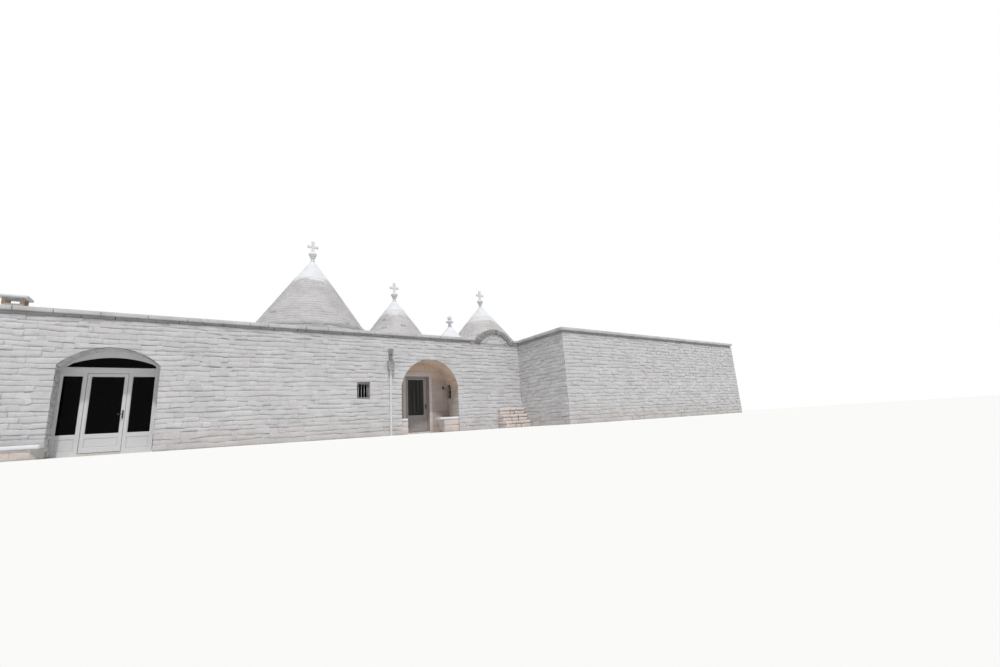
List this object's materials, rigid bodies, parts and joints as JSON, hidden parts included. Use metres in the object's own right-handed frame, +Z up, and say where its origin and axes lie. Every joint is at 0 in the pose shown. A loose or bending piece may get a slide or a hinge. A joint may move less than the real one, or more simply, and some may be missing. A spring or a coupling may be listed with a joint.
{
  "type": "trullo house",
  "caption": "Whitewashed stone trullo house with conical roofs, a flat terrace, an arched porch, a glazed door and a forward wing.",
  "frame": {"origin": "on the ground under the middle of the whole house, at the centre of its outline seen from above", "axes": "+X along the front towards the wing, +Y from the front into the house, +Z up"},
  "size_m": [30.26, 10.16, 8.375],
  "materials": {
    "limewashed_stone": "matt",
    "warm_stone": "matt",
    "lime_plaster": "matt",
    "painted_wood": "satin paint",
    "window_glass": "clear",
    "white_pipe": "satin",
    "dark_metal": "satin",
    "floor_stone": "worn"
  },
  "bodies": {
    "house": {"front_wall_left": "limewashed_stone", "glazed_door_head": "limewashed_stone", "front_wall_middle": "limewashed_stone", "window_bay_wall": "limewashed_stone", "front_wall_pier": "limewashed_stone", "porch_arch": "limewashed_stone", "porch_back_wall": "warm_stone", "porch_door_lintel": "warm_stone", "front_wall_right": "limewashed_stone", "niche_wall": "limewashed_stone", "niche_sides": "limewashed_stone", "end_walls": "limewashed_stone", "back_wall": "limewashed_stone", "wing_front_wall": "limewashed_stone", "wing_side_walls": "limewashed_stone", "wing_back_wall": "limewashed_stone", "main_roof": "lime_plaster", "wing_roof": "lime_plaster", "main_cornice": "lime_plaster", "wing_cornice": "lime_plaster", "gable_wall": "limewashed_stone", "gable_arch": "lime_plaster", "big_cone": "limewashed_stone", "middle_cone": "limewashed_stone", "small_cone": "limewashed_stone", "right_cone": "limewashed_stone", "cone_caps": "lime_plaster", "cross_pinnacles": "lime_plaster", "small_pinnacle": "lime_plaster", "chimney": "lime_plaster", "hinge_pins": "dark_metal", "glazed_frame": "painted_wood", "glazed_panes": "window_glass", "porch_door_frame": "painted_wood", "window_frame": "painted_wood", "window_pane": "window_glass", "seat_blocks": "limewashed_stone", "seat_slabs": "lime_plaster", "corner_steps": "warm_stone", "downpipe": "white_pipe", "rain_hopper": "dark_metal", "floor_slab": "floor_stone"},
    "glazed_door": {"glazed_leaf": "painted_wood", "glazed_leaf_pane": "window_glass", "glazed_door_fittings": "dark_metal"},
    "porch_door": {"porch_door_leaf": "painted_wood", "porch_door_pane": "window_glass", "porch_door_fittings": "dark_metal"}
  },
  "joints": [
    {"name": "glazed_door_hinge", "type": "hinge", "parent": "house", "child": "glazed_door", "pos_m": [-11.9025, -1.388, 0.072], "axis": [0, 0, 1], "range_deg": [0, 90]},
    {"name": "porch_door_hinge", "type": "hinge", "parent": "house", "child": "porch_door", "pos_m": [-2.6155, -0.868, 0.072], "axis": [0, 0, 1], "range_deg": [0, 90]}
  ]
}
